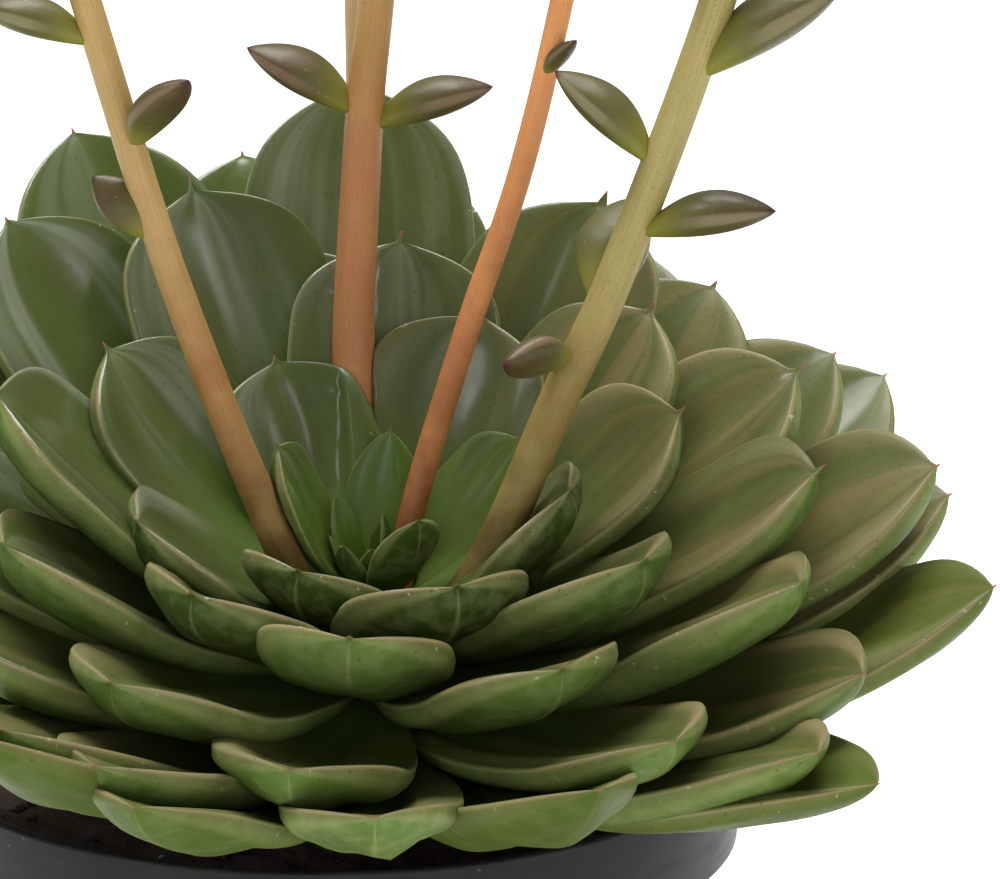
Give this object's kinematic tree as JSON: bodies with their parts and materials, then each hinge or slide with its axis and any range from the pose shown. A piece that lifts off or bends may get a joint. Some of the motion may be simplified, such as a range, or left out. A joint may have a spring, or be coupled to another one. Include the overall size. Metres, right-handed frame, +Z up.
{
  "type": "potted succulent",
  "caption": "Succulent rosette of thick pointed leaves leaning out of a round black nursery pot of soil, with tall flower stalks rising from its heart.",
  "frame": {"origin": "centre of the pot's base, on the surface it stands on", "axes": "+Z up along the pot's axis, -Y towards the side the rosette leans out of, +X to the right seen from there"},
  "size_m": [0.192, 0.194, 0.351],
  "materials": {
    "pot": "satin",
    "soil": "matte",
    "leaf": "satin",
    "stalk_left": "satin",
    "stalk_middle": "satin",
    "stalk_back": "satin",
    "stalk_slim": "satin",
    "stalk_right": "satin"
  },
  "bodies": {
    "root": {"pot": "pot", "soil": "soil", "rosette": "leaf", "flower_stalk_1": "stalk_left", "flower_stalk_2": "stalk_middle", "flower_stalk_3": "stalk_back", "flower_stalk_4": "stalk_slim", "flower_stalk_5": "stalk_right"}
  },
  "joints": []
}
